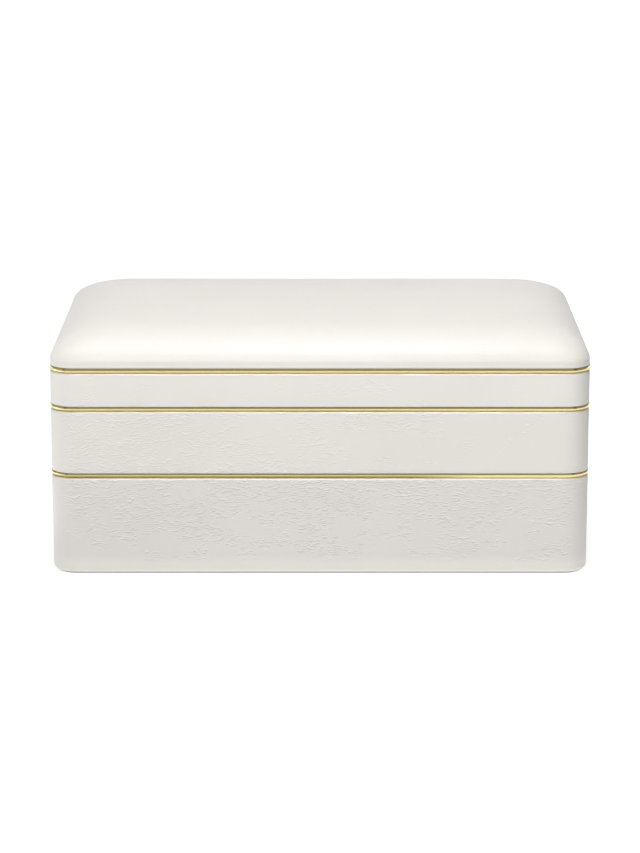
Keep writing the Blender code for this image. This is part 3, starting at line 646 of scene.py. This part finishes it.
def closed_pan(name, upper, lower, span=6.0 * MM):
    """A pan with thickness: its upper rings run from the lip to the floor's middle, its lower rings back out."""
    rows = [ring(i, z, r, 8, span) for i, z, r in upper]
    count = len(rows[0])
    verts = [v for row in rows for v in row]
    faces = []
    for i in range(len(rows) - 1):
        for j in range(count):
            k = (j + 1) % count
            faces.append((i * count + j, i * count + k, (i + 1) * count + k, (i + 1) * count + j))
    start = (len(rows) - 1) * count
    faces.append(tuple(start + j for j in range(count)))
    base = len(verts)
    rows_low = [ring(i, z, r, 8, span) for i, z, r in lower]
    verts += [v for row in rows_low for v in row]
    faces.append(tuple(base + j for j in range(count)))
    for i in range(len(rows_low) - 1):
        for j in range(count):
            k = (j + 1) % count
            faces.append((base + i * count + j, base + i * count + k, base + (i + 1) * count + k, base + (i + 1) * count + j))
    end = base + (len(rows_low) - 1) * count
    for j in range(count):
        k = (j + 1) % count
        faces.append((end + j, end + k, k, j))
    return mesh_object(name, verts, faces, 55)


def cut_boxes(obj, boxes, sharp=35.0):
    """Cuts cuboids out of a mesh and applies the cut; a third value turns a cuboid about the upright axis."""
    tools = []
    for low, high, *turn in boxes:
        bm = bmesh.new()
        bmesh.ops.create_cube(bm, size=1.0)
        low, high = Vector(low), Vector(high)
        bmesh.ops.scale(bm, vec=high - low, verts=bm.verts)
        if turn:
            bmesh.ops.rotate(bm, cent=(0, 0, 0), matrix=Matrix.Rotation(turn[0], 3, "Z"), verts=bm.verts)
        bmesh.ops.translate(bm, vec=(high + low) / 2, verts=bm.verts)
        mesh = bpy.data.meshes.new("tool")
        bm.to_mesh(mesh)
        bm.free()
        tool = bpy.data.objects.new("tool", mesh)
        bpy.context.scene.collection.objects.link(tool)
        tools.append(tool)
        cut = obj.modifiers.new("cut", "BOOLEAN")
        cut.operation = "DIFFERENCE"
        cut.solver = "EXACT"
        cut.object = tool
    apply_modifiers(obj)
    obj.data.shade_smooth()
    obj.data.set_sharp_from_angle(angle=math.radians(sharp))
    for tool in tools:
        mesh = tool.data
        bpy.data.objects.remove(tool)
        bpy.data.meshes.remove(mesh)


def apply_modifiers(obj):
    bpy.context.view_layer.update()
    graph = bpy.context.evaluated_depsgraph_get()
    mesh = bpy.data.meshes.new_from_object(obj.evaluated_get(graph))
    old = obj.data
    obj.modifiers.clear()
    obj.data = mesh
    bpy.data.meshes.remove(old)
    mesh.name = obj.name


for tray_body in ("bottom_tray", "middle_tray", "top_tray"):
    tray(tray_body)

for node in sorted(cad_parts):
    if "divider" in node:
        low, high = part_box(node)
        body = node.split("_tray")[0] + "_tray"
        cell_block(node + "_velvet", low, high, body, velvet_lining, "velvet", node)


def slab(name, inset, low, high, body, material, slot, node, edge=0.5 * MM, radius=None, cap_steps=4, drop=0.0):
    """A flat board with eased edges, both faces closed."""
    r = edge
    section = [(inset + r * (1 - math.sin(a)), low + r * (1 - math.cos(a))) for a in [math.pi / 2 * i / cap_steps for i in range(cap_steps + 1)]]
    section += [(inset + r * (1 - math.cos(a)), high - r * (1 - math.sin(a))) for a in [math.pi / 2 * i / cap_steps for i in range(cap_steps + 1)]]
    rows = [ring(i, z, max(CORNER - i, 2.6 * MM) if radius is None else radius, 8, 8.0 * MM) for i, z in section]
    count = len(rows[0])
    verts = [v for row in rows for v in row]
    faces = []
    for i in range(len(rows) - 1):
        for j in range(count):
            k = (j + 1) % count
            faces.append((i * count + j, i * count + k, (i + 1) * count + k, (i + 1) * count + j))
    faces.append(tuple(range(count)))
    faces.append(tuple((len(rows) - 1) * count + j for j in range(count)))
    obj = mesh_object(name, verts, faces, 40)
    return place(obj, body, material, slot, node)


low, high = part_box("bottom_tray_felt")
slab("bottom_tray_felt_pad", 15.3 * MM, low.z, high.z, "bottom_tray", felt_pad, "felt", "bottom_tray_felt", edge=0.3 * MM)
for body in ("middle_tray", "top_tray"):
    low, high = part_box(body + "_plinth")
    slab(body + "_plinth_velvet", 8.0 * MM, low.z, high.z, body, velvet_lining, "velvet", body + "_plinth", edge=1.1 * MM)
for node in sorted(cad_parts):
    if node.endswith("_frame") or node.endswith("_board"):
        paint(node, board_raw)
paint("lid_foam", foam_raw)


# ---------------------------------------------------------------- ring rolls
def ring_roll(node, seed):
    """A roll of velvet over foam: half-round back, ends tucked in, a little uneven as stuffed rolls are."""
    low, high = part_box(node)
    half, height = (high.x - low.x) / 2, high.z - low.z
    cx = (high.x + low.x) / 2
    spring = height - half
    around, steps = 22, 42
    verts, faces = [], []
    length = high.y - low.y
    r = random.Random(seed)
    phase = r.random() * 10
    for i in range(steps + 1):
        s = i / steps
        y = low.y + length * (0.5 - 0.5 * math.cos(math.pi * s)) if i in (0, steps) else low.y + length * (0.5 - 0.5 * math.cos(math.pi * s))
        edge = min(y - low.y, high.y - y)
        tuck = math.sqrt(max(0.0, 1 - (1 - min(edge / (3.2 * MM), 1.0)) ** 2))
        tuck = 0.55 + 0.45 * tuck
        swell = 1.0 - 0.012 + 0.012 * noise.noise(Vector((phase, y / 0.02, 0)))
        row = [(-half * 0.94, 0.0), (half * 0.94, 0.0), (half, 1.2 * MM)]
        for k in range(around + 1):
            a = math.pi * k / around
            row.append((half * math.cos(a), spring + half * math.sin(a)))
        row.append((-half, 1.2 * MM))
        for u, v in row:
            bump = 1.0 + 0.006 * noise.noise(Vector((u / 0.006 + phase, y / 0.012, v / 0.006)))
            verts.append((cx + u * tuck * swell * bump, y, low.z + v * (0.35 + 0.65 * tuck) * (swell if v > 0 else 1.0)))
    count = len(row)
    for i in range(steps):
        for j in range(count):
            k = (j + 1) % count
            faces.append((i * count + j, i * count + k, (i + 1) * count + k, (i + 1) * count + j))
    faces.append(tuple(range(count)))
    faces.append(tuple(steps * count + j for j in range(count)))
    obj = mesh_object(node + "_velvet", verts, faces, 60)
    place(obj, "top_tray", velvet_rolls, "velvet", node)


for i in range(8):
    ring_roll("ring_roll_%d" % (i + 1), 100 + i)


# ---------------------------------------------------------------- lid
SHOULDER_IN, SHOULDER_UP, SHOULDER_POWER, CROWN_UP = 29.0 * MM, 14.4 * MM, 1.94, 3.0 * MM


def lid_rise(inset):
    t = min(inset / SHOULDER_IN, 1.0)
    shoulder = (1.0 - (1.0 - t) ** SHOULDER_POWER) ** (1.0 / SHOULDER_POWER)
    crown = 1.0 - (1.0 - min(inset / HALF_D, 1.0)) ** 2
    return SHOULDER_UP * shoulder + CROWN_UP * crown


def lid_cover():
    skin = 0.8 * MM
    low = LID_Z - 0.49 * MM
    outer = [(7.5 * MM, LID_Z + skin), (7.5 * MM, low + 0.12 * MM), (7.3 * MM, low), (4.0 * MM, low)]
    outer += arc(0.5 * MM, low + 0.5 * MM, 0.5 * MM, 270, 180, 8)
    outer += [(0.01 * MM, low + 1.3 * MM), (0.05 * MM, SHOULDER_Z - 0.25 * MM)]
    steps = 30
    for i in range(0, steps + 1):
        s = SHOULDER_IN * (1.0 - math.cos(math.pi / 2 * i / steps))
        outer.append((s, SHOULDER_Z + lid_rise(s)))
    for s in (33, 38, 44, 50, 56, 62, 68, 74, 79, 83, 86):
        outer.append((s * MM, SHOULDER_Z + lid_rise(s * MM)))
    # the underside of the skin, out of sight against the foam
    inner = []
    for s in (80, 60, 44, 33, 29, 22, 16, 11, 7, 4, 2, 1.1):
        s *= MM
        step = 0.05 * MM
        run, rise = step * 2, lid_rise(s + step) - lid_rise(s - step if s > step else 0.0)
        length = math.hypot(run, rise)
        inner.append((s + skin * rise / length, SHOULDER_Z + lid_rise(s) - skin * run / length))
    inner += [(skin, SHOULDER_Z - 0.3 * MM)]
    inner += arc(2.0 * MM, LID_Z + 2.0 * MM, 1.2 * MM, 180, 270, 4)
    wave = wobble(0.06 * MM, 0.04, 3.0)

    def turned(v, share):
        """Along the front the skin turns over the edge a little sooner."""
        up = v.z - LID_Z
        t = 0.68 * min(max((up - 0.6 * MM) / (4.2 * MM), 0.0), 1.0) + 0.30 * min(max((up - 2.9 * MM) / (2.8 * MM), 0.0), 1.0)
        fade = 1.0 - min(max((up - 8.0 * MM) / (8.0 * MM), 0.0), 1.0)
        along = min(max((-v.y - 0.066) / 0.016, 0.0), 1.0)
        return v + Vector((0, share * t * MM * fade * along, 0))

    def settle(v):
        """Soft unevenness of foam under a stretched skin."""
        v = turned(wave(v), 1.0)
        if v.z > SHOULDER_Z + 6 * MM:
            lift = 0.10 * MM * noise.noise(Vector((v.x / 0.045, v.y / 0.045, 4.2)))
            v = v + Vector((0, 0, lift))
        return v

    upper = [(i, z, CORNER) for i, z in outer]
    lower = [(i, z, CORNER) for i, z in inner]
    rows = [ring(i, z, r, 14, 3.0 * MM) for i, z, r in upper]
    count = len(rows[0])
    verts = [settle(Vector(v)) for row in rows for v in row]
    faces = []
    for i in range(len(rows) - 1):
        for j in range(count):
            k = (j + 1) % count
            faces.append((i * count + j, i * count + k, (i + 1) * count + k, (i + 1) * count + j))
    start = (len(rows) - 1) * count
    faces.append(tuple(start + j for j in range(count)))
    base = len(verts)
    rows_low = [ring(i, z, r, 14, 3.0 * MM) for i, z, r in lower]
    verts += [turned(Vector(v), 0.7) for row in rows_low for v in row]
    faces.append(tuple(base + j for j in range(count)))
    for i in range(len(rows_low) - 1):
        for j in range(count):
            k = (j + 1) % count
            faces.append((base + i * count + j, base + i * count + k, base + (i + 1) * count + k, base + (i + 1) * count + j))
    end = base + (len(rows_low) - 1) * count
    for j in range(count):
        k = (j + 1) % count
        faces.append((end + j, end + k, k, j))
    obj = mesh_object("lid_leather_cover", verts, faces, 60)
    cut_boxes(
        obj,
        [
            ((s * HINGE_X - 12.5 * MM, HALF_D - 9.4 * MM, LID_Z - 1 * MM), (s * HINGE_X + 12.5 * MM, HALF_D + 1 * MM, LID_Z + 1.1 * MM))
            for s in (-1, 1)
        ],
        60.0,
    )
    place(obj, "lid", leather_lid, "lid_leather", "lid_leather")


lid_cover()

def lid_recess():
    """Velvet of the lid's recess: a flat rim, a rounded edge, an upright wall and the ceiling round the mirror."""
    ceiling = 114.4 * MM
    rim = LID_Z + 0.02 * MM
    seen = [(7.8, rim + 0.75 * MM), (7.8, rim + 0.22 * MM), (8.05, rim)]
    seen += [(9.0, rim), (9.8, rim)]
    seen += [(p[0] / MM, p[1]) for p in arc(9.9 * MM, rim + 1.1 * MM, 1.1 * MM, -90, 0, 7)]
    seen += [(11.0, rim + 2.2 * MM), (11.0, ceiling - 1.0 * MM)]
    seen += [(p[0] / MM, p[1]) for p in arc(11.9 * MM, ceiling - 0.9 * MM, 0.9 * MM, 180, 90, 5)]
    seen += [(16.0, ceiling), (24.0, ceiling), (45.0, ceiling), (70.0, ceiling)]
    hidden = [(70.0, ceiling + 0.75 * MM), (10.4, ceiling + 0.75 * MM), (10.4, rim + 1.9 * MM), (9.3, rim + 0.78 * MM)]
    upper = [(i * MM, z, CORNER) for i, z in seen]
    lower = [(i * MM, z, CORNER) for i, z in hidden]
    obj = closed_pan("lid_velvet_recess", upper, lower, 5.0 * MM)
    cut_boxes(
        obj,
        [
            ((s * HINGE_X - 12.5 * MM, HALF_D - 9.4 * MM, LID_Z - 1 * MM), (s * HINGE_X + 12.5 * MM, HALF_D + 1 * MM, LID_Z + 1.1 * MM))
            for s in (-1, 1)
        ],
        55.0,
    )
    place(obj, "lid", velvet_lining, "velvet", "lid_lining")


def mirror():
    """Silvered glass with ground edges and a wide, shallow bevel round its face."""
    low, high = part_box("lid_mirror")
    section = [
        (22.25, high.z, 7.9), (22.0, high.z - 0.2 * MM, 8.0), (22.0, low.z + 0.72 * MM, 8.0), (22.16, low.z + 0.56 * MM, 7.9),
        (30.0, low.z, 4.5),
    ]
    rows = [ring(i * MM, z, r * MM, 8, 8.0 * MM) for i, z, r in section]
    count = len(rows[0])
    verts = [v for row in rows for v in row]
    faces = [tuple(range(count)), tuple((len(rows) - 1) * count + j for j in range(count))]
    for i in range(len(rows) - 1):
        for j in range(count):
            k = (j + 1) % count
            faces.append((i * count + j, i * count + k, (i + 1) * count + k, (i + 1) * count + j))
    place(mesh_object("lid_bevelled_mirror", verts, faces, 3.0), "lid", mirror_glass, "mirror", "lid_mirror")


lid_recess()
mirror()


# ---------------------------------------------------------------- hinges
def softened(node, body, width):
    """The hinge part with the broken edges that stamped and tumbled brass has."""
    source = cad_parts[node]
    bm = bmesh.new()
    bm.from_mesh(source.data)
    bmesh.ops.transform(bm, matrix=source.matrix_world, verts=bm.verts)
    bmesh.ops.remove_doubles(bm, verts=bm.verts, dist=0.000002)
    bmesh.ops.dissolve_limit(bm, angle_limit=math.radians(1.0), verts=bm.verts, edges=bm.edges)
    mesh = bpy.data.meshes.new(node + "_brass")
    bm.to_mesh(mesh)
    bm.free()
    obj = bpy.data.objects.new(node + "_brass", mesh)
    bpy.context.scene.collection.objects.link(obj)
    bevel = obj.modifiers.new("bevel", "BEVEL")
    bevel.width = width
    bevel.segments = 2
    bevel.limit_method = "ANGLE"
    bevel.angle_limit = math.radians(40.0)
    bevel.use_clamp_overlap = True
    apply_modifiers(obj)
    obj.data.shade_smooth()
    obj.data.set_sharp_from_angle(angle=math.radians(38.0))
    weigh = obj.modifiers.new("weigh", "WEIGHTED_NORMAL")
    weigh.weight = 80
    weigh.keep_sharp = True
    apply_modifiers(obj)
    return obj


def drive_slots(obj, node):
    """Cross recess in a countersunk head."""
    low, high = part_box(node)
    upright = "_upper_" in node
    mid = (low + high) / 2
    long, thin, deep = 0.85 * MM, 0.17 * MM, 0.45 * MM
    boxes = []
    for a, b in ((long, thin), (thin, long)):
        if upright:
            boxes.append(((mid.x - a, mid.y - b, low.z - 1 * MM), (mid.x + a, mid.y + b, low.z + deep)))
        else:
            boxes.append(((mid.x - a, high.y - deep, mid.z - b), (mid.x + a, high.y + 1 * MM, mid.z + b)))
    for box in boxes:
        cut_boxes(obj, [box], 30.0)


for node in sorted(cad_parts):
    if node.startswith("hinge_"):
        body = "lid" if "_upper_" in node else "top_tray"
        piece = softened(node, body, 0.06 * MM if "_screw_" in node or "_pin" in node else 0.11 * MM)
        if "_screw_" in node:
            drive_slots(piece, node)
        place(piece, body, hinge_gold, "hinge_brass", node)


# ---------------------------------------------------------------- stage, light, camera
def floor_material():
    """Pale studio paper that glows, painted light: its glow keeps it clean white and lights the case from below,
    strongest beside the case on the left and a little stronger far out, behind on the right and in front on the right;
    it fades to nothing just inside the case's outline, a painted contact shadow.
    """
    material, n = new_material("studio_floor")
    tint = n.noise(n.coords(), 2.0, 2.0)
    n.set(Base_Color=n.mix(tint, (0.345, 0.345, 0.345), (0.355, 0.355, 0.355)), Roughness=0.9, Specular_IOR_Level=0.1)
    split = n.add("SeparateXYZ")
    n.link(n.coords(), split.inputs["Vector"])
    out_x = n.math("MAXIMUM", n.math("SUBTRACT", n.math("ABSOLUTE", split.outputs["X"]), HALF_W - CORNER), 0.0)
    out_y = n.math("MAXIMUM", n.math("SUBTRACT", n.math("ABSOLUTE", split.outputs["Y"]), HALF_D - CORNER), 0.0)
    away = n.math("SQRT", n.math("ADD", n.math("MULTIPLY", out_x, out_x), n.math("MULTIPLY", out_y, out_y)))
    # painted contact shadow: no glow deeper than 3.8 mm inside the case's outline, full glow from 1.9 mm inside it
    open_floor = n.math("MULTIPLY", n.math("SUBTRACT", away, CORNER - 3.8 * MM), 1.0 / (1.9 * MM), clamp=True)
    far = n.math("MULTIPLY", n.math("SUBTRACT", away, 0.3), 1.2, clamp=True)
    # painted light: the glow's strength is shaped round the case to light its sides unevenly
    level = n.math("MULTIPLY_ADD", far, 0.30, 0.76)
    behind = n.math("MULTIPLY", n.math("ADD", split.outputs["Y"], 0.11), 20.0, clamp=True)
    beside = n.math("MULTIPLY", n.math("ADD", split.outputs["Y"], 0.16), 18.0, clamp=True)
    past = n.math("MULTIPLY_ADD", split.outputs["Y"], -14.0, 1.3, clamp=True)
    beside = n.math("MULTIPLY", beside, past)
    left = n.math("MULTIPLY", n.math("ADD", split.outputs["X"], 0.150), -14.0, clamp=True)
    level = n.math("MULTIPLY", level, n.math("MULTIPLY_ADD", n.math("MULTIPLY", left, beside), 1.3, 1.0))
    right = n.math("MULTIPLY", n.math("SUBTRACT", split.outputs["X"], 0.13), 20.0, clamp=True)
    level = n.math("MULTIPLY", level, n.math("MULTIPLY_ADD", n.math("MULTIPLY", right, behind), 0.14, 1.0))
    front_right = n.math("MULTIPLY", n.math("ADD", split.outputs["X"], 0.12), 3.3, clamp=True)
    front_right = n.math("MULTIPLY", front_right, n.math("SUBTRACT", 1.0, behind))
    level = n.math("MULTIPLY", level, n.math("MULTIPLY_ADD", front_right, 0.12, 1.0))
    n.set(Emission_Color=(1.0, 1.0, 1.0), Emission_Strength=n.math("MULTIPLY", open_floor, level))
    return material


bm = bmesh.new()
bmesh.ops.create_grid(bm, x_segments=8, y_segments=8, size=9.0)
floor_mesh = bpy.data.meshes.new("studio_floor")
bm.to_mesh(floor_mesh)
bm.free()
floor = bpy.data.objects.new("studio_floor", floor_mesh)
floor.location = (0, 0, -0.0002)
floor_mesh.materials.append(floor_material())
bpy.context.scene.collection.objects.link(floor)


def backdrop(name, radius, height):
    """A white wall far round the floor; only the camera sees it."""
    count = 48
    ring_points = [(radius * math.cos(2 * math.pi * i / count), radius * math.sin(2 * math.pi * i / count)) for i in range(count)]
    verts = [(x, y, -0.001) for x, y in ring_points] + [(x, y, height) for x, y in ring_points]
    faces = [(i, (i + 1) % count, count + (i + 1) % count, count + i) for i in range(count)]
    mesh = bpy.data.meshes.new(name)
    mesh.from_pydata(verts, [], faces)
    material, n = new_material(name)
    n.set(Base_Color=(0.0, 0.0, 0.0), Roughness=1.0, Specular_IOR_Level=0.0)
    n.set(Emission_Color=(1.0, 1.0, 1.0), Emission_Strength=1.0)
    mesh.materials.append(material)
    obj = bpy.data.objects.new(name, mesh)
    bpy.context.scene.collection.objects.link(obj)
    obj.visible_diffuse = False
    obj.visible_glossy = False
    obj.visible_transmission = False
    obj.visible_shadow = False


backdrop("studio_backdrop", 8.5, 9.0)

world = bpy.data.worlds.new("studio")
world.use_nodes = True
bpy.context.scene.world = world
tree = world.node_tree
background = tree.nodes["Background"]
coordinate = tree.nodes.new("ShaderNodeTexCoord")
split = tree.nodes.new("ShaderNodeSeparateXYZ")
tree.links.new(coordinate.outputs["Generated"], split.inputs["Vector"])


def lobe(axis, sign, amount, base):
    """Soft light from one side of the studio, added to what is there."""
    turned = tree.nodes.new("ShaderNodeMath")
    turned.operation = "MULTIPLY"
    turned.inputs[1].default_value = sign
    tree.links.new(split.outputs[axis], turned.inputs[0])
    side = tree.nodes.new("ShaderNodeMath")
    side.operation = "MAXIMUM"
    side.inputs[1].default_value = 0.0
    tree.links.new(turned.outputs["Value"], side.inputs[0])
    soft = tree.nodes.new("ShaderNodeMath")
    soft.operation = "POWER"
    soft.inputs[1].default_value = 1.5
    tree.links.new(side.outputs["Value"], soft.inputs[0])
    level = tree.nodes.new("ShaderNodeMath")
    level.operation = "MULTIPLY_ADD"
    level.inputs[1].default_value = amount
    tree.links.new(soft.outputs["Value"], level.inputs[0])
    if isinstance(base, float):
        level.inputs[2].default_value = base
    else:
        tree.links.new(base, level.inputs[2])
    return level.outputs["Value"]


tree.links.new(lobe("X", -1.0, 0.05, lobe("Y", 1.0, 0.45, 0.12)), background.inputs["Strength"])
background.inputs["Color"].default_value = (1.0, 1.0, 1.0, 1.0)


def softbox(name, azimuth, elevation, distance, size, power, aim=(0, 0, 0.07), glossy=True, diffuse=True):
    """An area light round the case: azimuth 0 is the front, positive to the right."""
    data = bpy.data.lights.new(name, "AREA")
    data.shape = "RECTANGLE"
    data.size, data.size_y = size
    data.energy = power
    obj = bpy.data.objects.new(name, data)
    a, e = math.radians(azimuth), math.radians(elevation)
    offset = Vector((math.sin(a) * math.cos(e), -math.cos(a) * math.cos(e), math.sin(e)))
    obj.location = Vector(aim) + offset * distance
    obj.rotation_euler = (-offset).to_track_quat("-Z", "Y").to_euler()
    obj.visible_camera = False
    obj.visible_glossy = glossy
    obj.visible_diffuse = diffuse
    bpy.context.scene.collection.objects.link(obj)


softbox("key_softbox", 0, 63, 1.15, (0.50, 0.73), 9.05)
softbox("top_softbox", 0, 89, 1.15, (0.50, 0.77), 2.8)
softbox("rear_softbox", 180, 60, 1.5, (1.2, 0.8), 1.2)
softbox("front_card", 0, 18, 2.6, (4.0, 1.7), 6.0, diffuse=False)
softbox("left_glow", -82, 18, 2.6, (2.8, 1.7), 4.2, diffuse=False)
softbox("right_glow", 82, 18, 2.6, (2.8, 1.7), 2.8, diffuse=False)


def flag(name, x, front, back, high):
    """A dark card that keeps light off the right-hand corners; only diffuse light meets it."""
    mesh = bpy.data.meshes.new(name)
    mesh.from_pydata([(x, front, 0.007), (x, back, 0.007), (x, back, high), (x, front, high)], [], [(0, 1, 2, 3)])
    material, n = new_material(name)
    n.set(Base_Color=(0.03, 0.03, 0.03), Roughness=1.0, Specular_IOR_Level=0.0)
    mesh.materials.append(material)
    obj = bpy.data.objects.new(name, mesh)
    bpy.context.scene.collection.objects.link(obj)
    obj.visible_camera = False
    obj.visible_glossy = False
    obj.visible_transmission = False
    obj.visible_shadow = False


flag("side_flag", 0.24, -0.14, 0.32, 0.145)
softbox("left_card", -80, 2, 1.4, (1.0, 0.4), 0.75, aim=(0, 0, 0.06), glossy=False)

camera_data = bpy.data.cameras.new("camera")
camera = bpy.data.objects.new("camera", camera_data)
camera_data.lens = 131.32
camera_data.sensor_width = 36.0
camera_data.clip_start = 0.05
camera_data.clip_end = 50.0
camera.location = (0.0, -1.6583, 0.4407)
camera.rotation_euler = (math.radians(90.0 - 12.996), 0, 0)
bpy.context.scene.collection.objects.link(camera)
bpy.context.scene.camera = camera

view = bpy.context.scene.view_settings
view.view_transform = "Standard"
view.look = "None"
view.exposure = 0.0
view.gamma = 1.0
